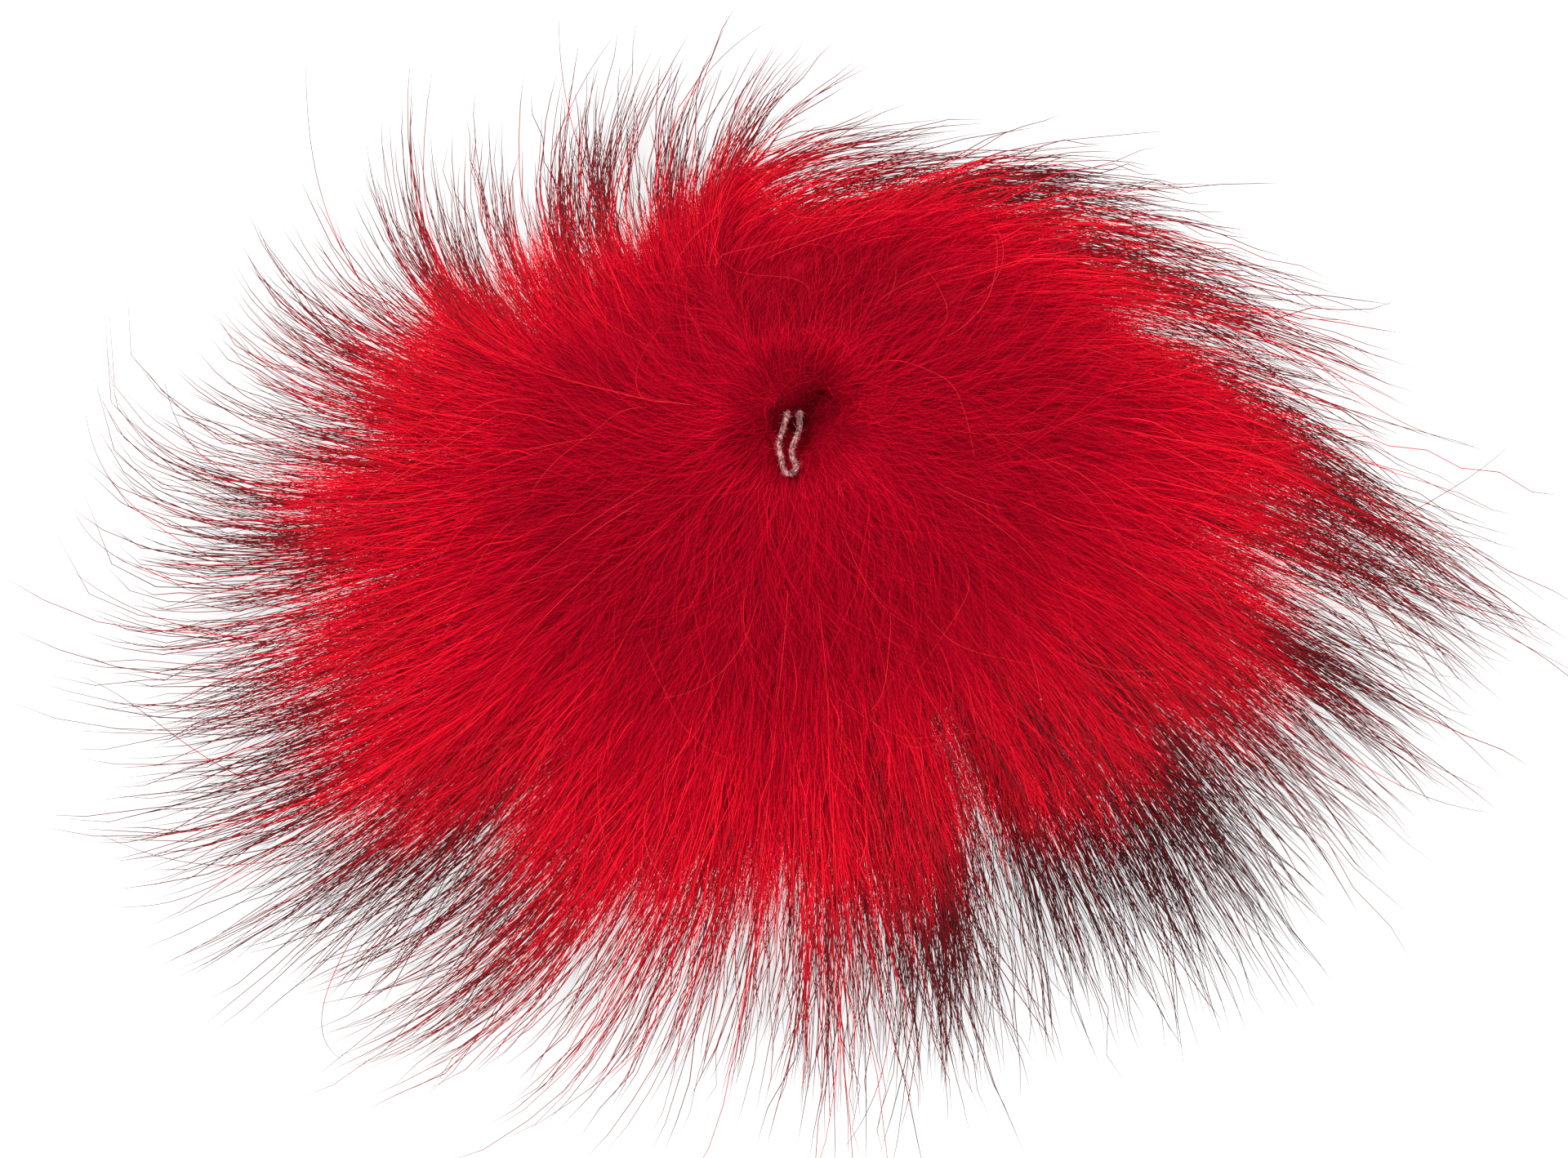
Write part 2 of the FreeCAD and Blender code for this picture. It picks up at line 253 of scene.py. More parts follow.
def guard_hair_material():
    """Dyed guard hair: deep red at the root, a lighter red along the middle that is partly dye and
    partly painted glow and sheen, natural brown at the tip.
    """
    material, tree, shader = new_material("guard_hair_dyed_red", 0.5, 0.05)
    uv, across, along = strand_coordinates(tree)
    # The light red along the middle is partly dye and partly a painted glow and sheen of light through
    # the thin hairs.
    dyed = ramp(tree, [(0.0, DEEP_RED), (0.3, (0.70, 0.0012, 0.017)), (0.55, RED_WITH_PAINTED_GLOW),
                       (0.8, (0.62, 0.005, 0.017)), (1.0, (0.42, 0.004, 0.013))], along)
    # The darker a hair is, the nearer to its root the natural colour starts.
    start = maths(tree, "SUBTRACT", 0.96, maths(tree, "MULTIPLY", across, 0.48))
    share = maths(tree, "MULTIPLY", maths(tree, "SUBTRACT", along, start), 3.2)
    share = maths(tree, "ADD", share, 0.40, clamp=True)
    strength = maths(tree, "ADD", 0.5, maths(tree, "MULTIPLY", across, 0.5))
    share = maths(tree, "MULTIPLY", share, strength)
    natural = ramp(tree, [(0.0, (0.50, 0.0035, 0.015)), (0.25, MAROON),
                          (0.5, (0.21, 0.0065, 0.0110)), (0.75, (0.145, 0.0070, 0.0100)),
                          (1.0, BROWN_BLACK)], share)
    dark = maths(tree, "MULTIPLY", share, 2.6, clamp=True)
    colour = mix(tree, dark, dyed, natural)
    fleck = noise(tree, stretched(tree, uv, (90.0, 3.0, 1.0)), 1.0, 2.0)
    shade = ramp(tree, [(0.3, grey(0.82)), (0.7, grey(1.0))], fleck)
    paint(tree, shader, darkened(tree, colour, shade))
    return material


def wool_material():
    """Woolly underfur: from dark to pale red, and darker at the root."""
    material, tree, shader = new_material("underfur_wool", 0.7, 0.03)
    uv, across, along = strand_coordinates(tree)
    # The pale end of this ramp, reached by the wool further out, is partly a painted glow. Its dark end
    # also serves the painted shade in the hollow beside the yarn.
    body = ramp(tree, [(0.0, (0.11, 0.0002, 0.006)), (0.10, (0.30, 0.0002, 0.011)),
                       (0.45, (0.46, 0.0004, 0.016)), (0.8, (0.78, 0.0020, 0.022)),
                       (1.0, (0.92, 0.012, 0.034))], across)
    root = ramp(tree, [(0.0, grey(0.8)), (0.4, grey(1.0))], along)
    fleck = noise(tree, stretched(tree, uv, (60.0, 2.0, 1.0)), 1.0, 2.0)
    shade = ramp(tree, [(0.3, grey(0.8)), (0.7, grey(1.0))], fleck)
    paint(tree, shader, darkened(tree, body, root, shade))
    return material


def flyaway_material():
    """Loose single hairs lying over the fur: orange-red, lighter than the rest."""
    material, tree, shader = new_material("flyaway_hair", 0.5, 0.06)
    _, across, along = strand_coordinates(tree)
    body = ramp(tree, [(0.0, (0.62, 0.003, 0.016)), (1.0, (0.85, 0.030, 0.034))], across)
    root = ramp(tree, [(0.0, grey(0.8)), (0.5, grey(1.0))], along)
    paint(tree, shader, darkened(tree, body, root))
    return material


def core_material():
    """Matted wool: fine streaks that run outwards from the mouth, with painted shade down in the well.
    """
    material, tree, shader = new_material("underfur_mat", 0.85, 0.05)
    uv, _, along = strand_coordinates(tree)
    streak = noise(tree, stretched(tree, uv, (260.0, 7.0, 1.0)), 1.0, 5.0, 0.7)
    patch = noise(tree, stretched(tree, uv, (26.0, 5.0, 1.0)), 1.0)
    red = ramp(tree, [(0.3, (0.20, 0.0002, 0.007)), (0.55, (0.38, 0.0004, 0.012)),
                      (0.8, (0.55, 0.001, 0.018))], streak)
    tone = ramp(tree, [(0.3, grey(0.65)), (0.7, grey(1.0))], patch)
    # Painted shade: darker down in the well, where the mouth's hollow lies in shade.
    well = ramp(tree, [(0.0, grey(0.30)), (0.10, grey(0.42)), (0.14, grey(0.60)),
                       (0.20, grey(1.0))], along)
    paint(tree, shader, darkened(tree, red, tone, well))
    bump(tree, shader, streak, 0.8, 0.0006)
    return material


def yarn_material():
    """Beige yarn, stained red in places."""
    material, tree, shader = new_material("loop_yarn", 0.9, 0.15, 0.3)
    place = object_place(tree)
    fibre = noise(tree, place, 2300.0)
    stain = noise(tree, place, 520.0, 2.0)
    beige = ramp(tree, [(0.42, (0.035, 0.008, 0.010)), (0.5, (0.17, 0.055, 0.058)),
                        (0.58, (0.44, 0.18, 0.18))], fibre)
    red = ramp(tree, [(0.45, grey(1.0)), (0.75, (0.80, 0.50, 0.48))], stain)
    paint(tree, shader, darkened(tree, beige, red))
    bump(tree, shader, fibre, 0.7, 0.0001)
    return material


def fuzz_material():
    """Loose fibres of the yarn."""
    material, tree, shader = new_material("loop_yarn_fuzz", 0.9, 0.15, 0.2)
    _, across, along = strand_coordinates(tree)
    beige = ramp(tree, [(0.0, (0.16, 0.030, 0.034)), (0.5, (0.32, 0.10, 0.10)),
                        (1.0, (0.52, 0.24, 0.23))], across)
    root = ramp(tree, [(0.0, (0.8, 0.7, 0.7)), (1.0, grey(1.0))], along)
    paint(tree, shader, darkened(tree, beige, root))
    return material


def thread_material():
    material, tree, shader = new_material("waxed_thread", 0.55, 0.4)
    fibre = noise(tree, object_place(tree), 5200.0)
    tone = ramp(tree, [(0.3, (0.20, 0.01, 0.015)), (0.7, (0.50, 0.03, 0.05))], fibre)
    paint(tree, shader, tone)
    bump(tree, shader, fibre, 0.5, 0.00005)
    return material


def hide_material():
    material, tree, shader = new_material("dyed_hide", 0.8, 0.2)
    place = object_place(tree)
    pores = noise(tree, place, 1500.0, 5.0, 0.65)
    blotch = noise(tree, place, 120.0)
    skin = ramp(tree, [(0.3, (0.30, 0.06, 0.05)), (0.7, (0.55, 0.20, 0.15))], pores)
    dye = ramp(tree, [(0.35, (1.0, 0.85, 0.8)), (0.65, (0.8, 0.35, 0.32))], blotch)
    paint(tree, shader, darkened(tree, skin, dye))
    bump(tree, shader, pores, 0.5, 0.0002)
    return material


def stuffing_material():
    material, tree, shader = new_material("fibre_filling", 0.95, 0.1, 0.4)
    place = stretched(tree, object_place(tree), (900.0, 900.0, 250.0))
    wisps = noise(tree, place, 1.0, 5.0, 0.7)
    white = ramp(tree, [(0.3, (0.62, 0.60, 0.56)), (0.7, (0.90, 0.89, 0.86))], wisps)
    paint(tree, shader, white)
    bump(tree, shader, wisps, 0.9, 0.0008)
    return material


# ---- meshes from numpy arrays ----
def placed(name, data):
    """A new object in the scene."""
    thing = bpy.data.objects.new(name, data)
    bpy.context.scene.collection.objects.link(thing)
    return thing


def mesh_object(name, points, triangles, uv, material):
    """A smooth mesh from points in millimetres and triangles, with a UV pair for each corner or
    none."""
    mesh = bpy.data.meshes.new(name)
    count = len(triangles)
    mesh.vertices.add(len(points))
    mesh.vertices.foreach_set("co", (points * MM).astype(np.float32).ravel())
    mesh.loops.add(count * 3)
    mesh.loops.foreach_set("vertex_index", triangles.astype(np.int32).ravel())
    mesh.polygons.add(count)
    mesh.polygons.foreach_set("loop_start", np.arange(0, count * 3, 3, dtype=np.int32))
    mesh.polygons.foreach_set("use_smooth", np.ones(count, bool))
    mesh.update(calc_edges=True)
    if uv is not None:
        layer = mesh.uv_layers.new(name=UV_LAYER)
        layer.data.foreach_set("uv", uv.astype(np.float32).ravel())
    mesh.materials.append(material)
    return placed(name, mesh)


SIDES = 3  # of a hair
STRAND_UV_WIDTH = 0.012  # of the strand texture that one hair spans


def strands(name, lines, radii, tones, material):
    """Closed tapering hairs. lines is hairs x points x 3, radii is hairs x points, and tones gives
    each hair's own place across the strand texture."""
    hairs, rings = lines.shape[:2]
    along = np.gradient(lines, axis=1)
    along /= np.maximum(np.linalg.norm(along, axis=2, keepdims=True), 1e-9)
    chord = lines[:, -1] - lines[:, 0]
    side = np.cross(chord, random.normal(size=chord.shape))[:, None, :]
    side = side - (side * along).sum(2, keepdims=True) * along
    side /= np.maximum(np.linalg.norm(side, axis=2, keepdims=True), 1e-9)
    other = np.cross(along, side)
    tube_rings = rings - 1
    angles = 2.0 * math.pi * np.arange(SIDES) / SIDES
    ring = (side[:, :tube_rings, None] * np.cos(angles)[:, None]
            + other[:, :tube_rings, None] * np.sin(angles)[:, None])
    ring = lines[:, :tube_rings, None] + ring * radii[:, :tube_rings, None, None]
    points = np.concatenate([ring.reshape(hairs, -1, 3), lines[:, -1:]], axis=1)
    per_hair = points.shape[1]
    faces, places = strand_faces(tube_rings)
    triangles = (np.arange(hairs)[:, None, None] * per_hair + faces).reshape(-1, 3)
    uv = np.empty((hairs, len(faces), 3, 2))
    uv[..., 0] = tones[:, None, None] * (1.0 - STRAND_UV_WIDTH) + places[None, :, :, 0]
    uv[..., 1] = places[None, :, :, 1]
    return mesh_object(name, points.reshape(-1, 3), triangles, uv.reshape(-1, 2), material)


def strand_faces(tube_rings):
    """The triangles of one hair, and each corner's place across and along it."""
    faces = []
    places = []
    last = tube_rings * SIDES
    step = STRAND_UV_WIDTH / SIDES
    for ring in range(tube_rings - 1):
        low, high = ring / tube_rings, (ring + 1) / tube_rings
        for side in range(SIDES):
            a = ring * SIDES + side
            b = ring * SIDES + (side + 1) % SIDES
            left, right = side * step, (side + 1) * step
            faces.append((a, b, b + SIDES))
            places.append(((left, low), (right, low), (right, high)))
            faces.append((a, b + SIDES, a + SIDES))
            places.append(((left, low), (right, high), (left, high)))
    base = (tube_rings - 1) * SIDES
    top = (tube_rings - 1) / tube_rings
    for side in range(SIDES):
        left, right = side * step, (side + 1) * step
        faces.append((base + side, base + (side + 1) % SIDES, last))
        places.append(((left, top), (right, top), ((left + right) / 2.0, 1.0)))
    faces.append((0, 2, 1))
    places.append(((0.0, 0.0), (step * 2, 0.0), (step, 0.01)))
    return np.array(faces), np.array(places)


# ---- the flow of the fur ----
guide_locks = [lock for lock, guides in GUIDES.items() for _ in guides]
guide_bends, guide_tips, guide_dark = (
    np.array([guide[number] for guides in GUIDES.values() for guide in guides], float)
    for number in range(3))
guide_count = len(guide_locks)
# Where one lock ends and the next begins, in the numbering of the guides.
partings = np.array([number - 0.5 for number in range(guide_count)
                     if guide_locks[number] != guide_locks[number - 1]]) % guide_count


def between_guides(values, place):
    """Values of the guides, read smoothly at places between them; the list goes round in a ring."""
    low = np.floor(place).astype(int)
    share = place - low
    if values.ndim > 1:
        share = share[..., None]
    before, first, second, after = (values[(low + step) % guide_count] for step in (-1, 0, 1, 2))
    bend = 2.0 * before - 5.0 * first + 4.0 * second - after
    twist = 3.0 * (first - second) + after - before
    return first + 0.5 * share * (second - before + share * (bend + share * twist))


def to_parting(place):
    """The distance to the nearest parting, in guides."""
    gap = np.abs(place[..., None] - partings)
    return np.minimum(gap, guide_count - gap).min(-1)


def reach_at(place):
    """The share of its full reach that the fur has there: less where two locks part."""
    return 1.0 - NOTCH_DEPTH * np.exp(-(to_parting(place) / NOTCH_WIDTH) ** 2)


def plan_point(place, share):
    """Where the flow line at a place round the mouth is, at a share of its length."""
    bend = between_guides(guide_bends, place)
    tip = between_guides(guide_tips, place)
    first = np.linalg.norm(bend - MOUTH, axis=-1)
    second = np.linalg.norm(tip - bend, axis=-1)
    # The curve's own parameter runs fast where its points are far apart; this evens it out.
    root = np.sqrt(np.maximum(first ** 2 + (second ** 2 - first ** 2) * share, 0.04))
    t = ((first + second) * share / (first + root))[..., None]
    return MOUTH * (1.0 - t) ** 2 + bend * 2.0 * t * (1.0 - t) + tip * t * t


def surface_height(share, plan):
    """The height of the fur's top, with the dimple round the mouth and the slope at the back."""
    height = np.interp(share, SURFACE_SHARE, SURFACE_HEIGHT)
    radius = np.linalg.norm(plan - MOUTH, axis=-1)
    dimple = HINGE_Z + (radius - WELL_RADIUS) * DIMPLE_SLOPE
    back = BACK_FOOT[1] + np.maximum(BACK_FOOT[0] - plan[..., 1], 0.0) * BACK_SLOPE
    return np.minimum(np.minimum(height, dimple), back)


# The dark hollow beside the yarn is a slit: its middle, the way it runs and its half length.
HOLLOW = np.array([-0.9, 20.2])
HOLLOW_DEPTH = 2.5
SLIT = np.array([0.66, 0.75])
SLIT_HALF = 1.9


def from_slit(plan):
    """The nearest point of the slit's middle line."""
    along = np.clip((plan - HOLLOW) @ SLIT, -SLIT_HALF, SLIT_HALF)
    return HOLLOW + along[..., None] * SLIT


def hollow_dip(plan):
    """How far the fur's surface sinks towards the slit."""
    away = np.linalg.norm(plan - from_slit(plan), axis=-1)
    return HOLLOW_DEPTH * np.exp(-(away / 1.5) ** 2)


# ---- the fur's hairs ----
FUR_REACH = 80.0  # from the mouth to the tips, on average
SMALL_TUFT = 0.22  # a small tuft's width, as a share of a big one's
MOUTH_RIM = 12.0  # nearer the mouth than this, no hair stands above the fur's top
BELOW_TOP = 0.2  # how far below it stays there
LOWEST_HAIR = 0.15  # over the table


def guide_weights():
    """How many hairs belong to the gap after each guide: as many as it is wide."""
    middle = plan_point(np.arange(guide_count, dtype=float), np.full(guide_count, 0.75))
    return np.linalg.norm(np.roll(middle, -1, axis=0) - middle, axis=1)


def random_places(count, low, high):
    """Places round the mouth for hairs between two guide numbers, evenly spread over the width."""
    numbers = np.arange(low, high, 0.02)
    steps = np.cumsum(between_guides(guide_weights(), numbers))
    return np.interp(random.random(count) * steps[-1], steps, numbers)


def tufts(low, high, apart):
    """Tufts between two guide numbers: where each one is, its reach and which way it bends."""
    count = max(3, int((high - low) / apart))
    spots = np.arange(count) + random.uniform(0.08, 0.92, count)
    return {"centre": low + spots * (high - low) / count, "reach": random.uniform(0.86, 1.06, count),
            "bend": random.normal(size=count), "dark": random.normal(size=count) * 0.08}


def nearest(group, place):
    """The number of the tuft that each place is nearest to."""
    return np.abs(place[:, None] - group["centre"]).argmin(1)


def eased(values, low, high):
    """From 0 at low to 1 at high, smoothly."""
    share = np.clip((values - low) / (high - low), 0.0, 1.0)
    return share * share * (3.0 - 2.0 * share)


def hair_lines(low, high, rings, starts, ends, settings):
    """Centre lines of hairs that follow the flow, with each hair's place round the mouth and its
    tuft's darkness. starts and ends are shares of the fur's reach there."""
    count = len(starts)
    place = random_places(count, low, high)
    loner = random.random(count) < settings["loners"]
    place += random.normal(size=count) * np.where(loner, settings["astray"], settings["blur"])
    big = tufts(low, high, settings["tuft"])
    small = tufts(low, high, settings["tuft"] * SMALL_TUFT)
    in_big = nearest(big, place)
    in_small = nearest(small, place)
    to_big = (big["centre"][in_big] - place) * np.where(loner, 0.1, settings["pull"])
    to_small = (small["centre"][in_small] - place) * np.where(loner, 0.0, settings["pull"])
    along = np.linspace(0.0, 1.0, rings)[None, :]
    # A tuft comes to a point: the hairs at its sides are shorter than the ones in its middle.
    aside = np.abs(big["centre"][in_big] - place) / (settings["tuft"] * 0.5)
    pointed = big["reach"][in_big] * (1.03 - settings["point"] * np.minimum(aside, 1.2) ** 2)
    end = ends * reach_at(place) * np.where(loner, 1.0, pointed)
    share = starts[:, None] + (end - starts)[:, None] * along
    drawn = (to_small[:, None] * eased(share, 0.45, 0.8) * 0.6
             + to_big[:, None] * eased(share, 0.5, 1.0))
    plan = plan_point(place[:, None] + drawn, share)
    step = plan[:, -1] - plan[:, 0]
    length = np.linalg.norm(step, axis=1)
    across = np.stack([-step[:, 1], step[:, 0]], axis=1) / np.maximum(length, 1e-6)[:, None]
    outer = np.clip(share, 0.0, 1.2) ** 2 * FUR_REACH
    offset = outer * (big["bend"][in_big] * settings["tuft_bend"])[:, None]
    offset += outer * (small["bend"][in_small] * settings["tuft_bend"] * 0.5)[:, None]
    stray = np.where(loner, settings["stray"], 1.0)
    sway = random.normal(size=count) * settings["sway"] * length * stray
    curl = random.normal(size=count) * settings["curl"] * length * stray
    offset += sway[:, None] * along + curl[:, None] * along ** 2.5
    crimp = np.abs(random.normal(size=count)) * settings["crimp"]
    waves = length / settings["wave_length"] * random.uniform(0.7, 1.4, count)
    phase = random.uniform(0.0, 2.0 * math.pi, count)
    offset += crimp[:, None] * np.sin(along * waves[:, None] * 2.0 * math.pi + phase[:, None])
    plan = plan + across[:, None, :] * offset[..., None]
    radius = np.linalg.norm(plan - MOUTH, axis=2)
    top = surface_height(share, plan)
    depth = random.random(count) ** settings["depth_power"] * settings["depth"]
    floor = 0.3 + 1.2 * random.random(count)
    height = floor[:, None] + (top - floor[:, None]) * (1.0 - depth[:, None])
    height -= settings["root_dip"] * np.exp(-along / 0.08)
    sunk = np.where(random.random(count) < settings["on_top"], 0.0, settings["sunk"])
    height -= sunk[:, None] * (1.0 - eased(share, 0.30, 0.60))
    height -= hollow_dip(plan)
    lift = random.normal(size=count) * settings["lift"]
    height += lift[:, None] * along * (1.0 - along * 0.3)
    height += crimp[:, None] * np.cos(along * waves[:, None] * 5.1 + phase[:, None])
    limit = np.where(radius < MOUTH_RIM, top - BELOW_TOP, top + settings["proud"])
    height = np.clip(height, LOWEST_HAIR, np.maximum(limit, 2.0 * LOWEST_HAIR))
    return np.concatenate([plan, height[..., None]], axis=2), place, big["dark"][in_big]


def taper(rings, radius, tip):
    """Hair radii: finer at the root, full in the middle and drawn out towards the tip."""
    along = np.linspace(0.0, 1.0, rings)
    profile = np.minimum(1.0, 0.55 + along * 2.5) * (1.0 - (1.0 - tip) * along ** 2)
    return radius[:, None] * profile[None, :]


GUARD_RINGS = 15
GUARD_HAIRS = 1020  # in a lock of average width and a fullness of 1
GUARD_RADIUS = (0.046, 0.074)
GUARD_SETTINGS = {"tuft": 0.50, "pull": 0.52, "point": 0.14, "tuft_bend": 0.050, "blur": 0.08,
                  "loners": 0.46, "astray": 0.32, "stray": 2.3, "sway": 0.024, "curl": 0.036,
                  "crimp": 0.30, "wave_length": 10.0, "depth": 0.9, "depth_power": 1.4,
                  "root_dip": 2.2, "on_top": 0.012, "sunk": 2.0, "lift": 1.2, "proud": 2.0}
# A guard hair is fine at its root and thickest well out along its length.
HAIR_PLACE = [0.0, 0.35, 0.65, 0.90, 1.0]
HAIR_THICKNESS = [0.28, 0.40, 1.0, 0.90, 0.45]
WOOL_RINGS = 6
WOOL_HAIRS = 5200  # in a lock of average width, before its band's share
MOST_WOOL = 6900  # in one piece, to keep it light enough
WOOL_RADIUS = (0.022, 0.038)
INNER_WOOL = {"tuft": 0.60, "pull": 0.0, "point": 0.0, "tuft_bend": 0.0, "blur": 0.14,
              "loners": 0.3, "astray": 0.14, "stray": 2.0, "sway": 0.24, "curl": 0.28,
              "crimp": 0.26, "wave_length": 5.0, "depth": 0.13, "depth_power": 1.2,
              "root_dip": 0.8, "on_top": 1.0, "sunk": 0.0, "lift": 0.5, "proud": 0.8}
OUTER_WOOL = dict(INNER_WOOL, sway=0.11, curl=0.12, crimp=0.16, wave_length=8.0, blur=0.20,
                  astray=0.30)
SIDE_WOOL = dict(OUTER_WOOL, depth=0.97, depth_power=0.8)
# The wool's bands: name, first and last share of the reach, how full it is, and its settings.
WOOL_BANDS = [("inner", 0.035, 0.28, 0.47, INNER_WOOL), ("outer", 0.28, 0.62, 0.68, OUTER_WOOL),
              ("side", 0.34, 0.54, 0.38, SIDE_WOOL)]
# How the hairs' ends are spread: for each share of the hairs, how much of the reach they get to.
END_RANK = [0.0, 0.14, 0.34, 0.56, 0.70, 0.88, 0.98, 1.0]
END_SHARE = [0.50, 0.62, 0.73, 0.83, 0.89, 0.98, 1.05, 1.12]
FULLNESS = {"crest": 0.62, "upper_left": 0.74, "left_fan": 0.72, "left": 0.84, "left_lower": 0.80,
            "lower_left": 0.88, "bottom_left": 0.84, "bottom": 0.64, "bottom_dark": 1.40,
            "lower_right_dark": 1.30, "lower_right": 0.92, "right": 0.74, "upper_right": 0.72}
WOOL_REACH = {"upper_right": 0.84, "right": 0.90, "crest": 0.84, "bottom": 0.92, "bottom_left": 0.94}
# How much of the gap between guides a lock leaves bare before the next one, where the parting
# shows. Elsewhere neighbouring locks run into each other.
BARE = {("upper_right", "crest"): 0.08, ("left_fan", "left"): 0.04,
        ("bottom_dark", "lower_right_dark"): 0.28, ("right", "upper_right"): 0.02}
OVERLAP = -0.22
WOOL_SPILL = 0.30  # how much further than the guard hair the wool runs into a bare gap
# The reach of the shortest hairs with dark tips, in the dark locks and in the others.
SHORTEST_DARK = {True: 0.38, False: 0.50}
DARK_FADE = 0.24
TONE_SPREAD = 0.13


def lock_ranges():
    """Each lock's name, and the first and last places round the mouth of its guard hair and wool."""
    ranges = []
    edges = sorted(partings)
    for first, last in zip(edges, edges[1:] + [edges[0] + guide_count]):
        name = guide_locks[int(math.ceil(first)) % guide_count]
        before = guide_locks[int(math.floor(first)) % guide_count]
        after = guide_locks[int(math.ceil(last)) % guide_count]
        low = first + BARE.get((before, name), OVERLAP)
        high = last - BARE.get((name, after), OVERLAP)
        wool_low = first + max(BARE.get((before, name), 0.0) - WOOL_SPILL, OVERLAP)
        wool_high = last - max(BARE.get((name, after), 0.0) - WOOL_SPILL, OVERLAP)
        ranges.append((name, (low, high), (wool_low, wool_high)))
    return ranges


def lock_share(name, low, high):
    """This lock's share of the fur, against the average lock."""
    numbers = np.arange(low, high, 0.05)
    everywhere = np.arange(0.0, guide_count, 0.05)
    part = between_guides(guide_weights(), numbers).sum()
    whole = between_guides(guide_weights(), everywhere).sum()
    return FULLNESS[name] * part / whole * len(partings)


def make_guard_lock(name, low, high, material):
    """One lock of guard hair."""
    count = int(GUARD_HAIRS * lock_share(name, low, high))
    ends = np.interp(random.random(count), END_RANK, END_SHARE)
    starts = 0.05 + 0.30 * random.random(count) ** 0.8
    lines, place, shade = hair_lines(low, high, GUARD_RINGS, starts, ends, GUARD_SETTINGS)
    radius = random.uniform(*GUARD_RADIUS, count)
    # Only the long hairs kept their natural tips, and in the dark locks the shorter ones too.
    shortest = SHORTEST_DARK[name.endswith("dark")]
    dark = between_guides(guide_dark, place) + shade
    dark *= eased(ends, shortest, shortest + DARK_FADE)
    tones = np.clip(dark + random.normal(size=count) * TONE_SPREAD, 0.0, 1.0)
    profile = np.interp(np.linspace(0.0, 1.0, GUARD_RINGS), HAIR_PLACE, HAIR_THICKNESS)
    return strands("hair_" + name, lines, radius[:, None] * profile, tones, material)


def make_wool_lock(name, low, high, band, first, last, layer, settings, material):
    """One band of the underfur, between two shares of the reach."""
    count = int(WOOL_HAIRS * lock_share(name, low, high) / FULLNESS[name] * layer)
    count = min(count, MOST_WOOL)
    last *= WOOL_REACH.get(name, 1.0)
    starts = first + (last - first) * random.random(count) ** 0.85
    ends = starts + random.uniform(0.08, 0.19, count)
    lines = hair_lines(low, high, WOOL_RINGS, starts, ends, settings)[0]
    radius = random.uniform(*WOOL_RADIUS, count)
    # Wool further out is painted lighter: a painted glow of light shining through the thin hairs at the
    # rim.
    painted_glow = 1.7 * np.maximum(starts - 0.27, 0.0)
    tones = np.clip(random.beta(2.0, 2.4, count) * 0.8 + painted_glow, 0.0, 1.0)
    # Wool rooted near the slit is painted dark: painted shade in the hollow beside the yarn.
    rooted = lines[:, 1, :2]
    near = np.linalg.norm(rooted - from_slit(rooted), axis=1)
    tones *= np.interp(near, [1.1, 2.3], [0.05, 1.0])
    return strands("wool_%s_%s" % (name, band), lines, taper(WOOL_RINGS, radius, 0.3), tones,
                   material)


# ---- single hairs, laid one by one ----
# Root, two bends and tip, with the height over the table at each, all in millimetres.
STRAYS = [
    ((-53, 34, 8), (-60, 44, 6), (-62, 52, 5), (-62, 65, 5)),
    ((-69, 2, 6), (-84, 8, 5), (-89, 14, 4), (-90, 23, 4)),
    ((-66, 0, 6), (-82, 0, 5), (-89, 5, 4), (-91, 10, 3)),
    ((-64, -7, 7), (-78, -6, 5), (-86, -2, 4), (-91, 2, 3)),
    ((-66, -25, 6), (-77, -22, 5), (-83, -13, 4), (-91, -11, 3)),
    ((-59, -27, 7), (-72, -36, 5), (-78, -40, 4), (-87, -39, 4)),
    ((-55, -30, 6), (-68, -36, 5), (-78, -35, 4), (-88, -30, 3)),
    ((-55, -40, 5), (-60, -48, 4), (-63, -55, 3), (-58, -58, 3)),
    ((60, -17, 7), (70, -24, 5), (76, -27, 4), (84, -28, 3)),
    ((62, 3, 9), (72, 9, 7), (80, 12, 6), (86, 18, 6)),
    ((64, 15, 9), (76, 9, 6), (84, 3, 4), (91, -2, 3)),
    ((60, 29, 8), (68, 21, 6), (76, 18, 5), (82, 17, 4)),
    ((70, 3, 6), (80, -3, 5), (86, -5, 4), (91, -8, 3)),
    ((-28, 52, 8), (-30, 58, 6), (-31, 63, 5), (-31, 70, 5)),
    ((-18, 54, 7), (-16, 61, 6), (-11, 66, 5), (-6, 69, 4)),
    ((-32, 53, 7), (-30, 58, 6), (-28, 63, 5), (-24, 68, 4)),
    ((10, -50, 6), (10, -58, 5), (8, -64, 4), (4, -69, 3)),
    ((-18, -52, 6), (-22, -59, 5), (-29, -63, 4), (-35, -67, 3)),
    ((-66, 12, 6), (-76, 14, 5), (-79, 20, 4), (-80, 26, 4)),
]
FLYAWAYS = [
    ((-2, 1, 45), (3, -6, 41), (23, -1, 35), (39, 13, 29)),
    ((12, -2, 41), (26, -4, 35), (36, 3, 30), (40, 14, 28)),
    ((-44, 19, 26), (-46, 23, 26), (-45, 28, 24), (-42, 30, 24)),
    ((0, 12, 52), (8, 6, 48), (12, -8, 40), (9, -16, 36)),
    ((-6, 9, 51), (-2, 12, 52), (3, 6, 49), (6, -2, 44)),
    ((-34, 40, 21), (-26, 33, 30), (-18, 27, 40), (-10, 23, 48)),
    ((-16, -20, 32), (-8, -12, 37), (2, -14, 36), (8, -12, 38)),
    ((-24, -14, 33), (-10, -11, 38), (-6, -16, 35), (-3, -12, 38)),
    ((29, 30, 33), (22, 26, 38), (16, 22, 43), (10, 22, 48)),
    ((-41, -4, 27), (-28, 0, 34), (-20, 8, 40), (-13, 15, 46)),
]
RANDOM_FLYAWAYS = 100
SINGLE_RINGS = 18
STRAY_RADIUS = 0.060
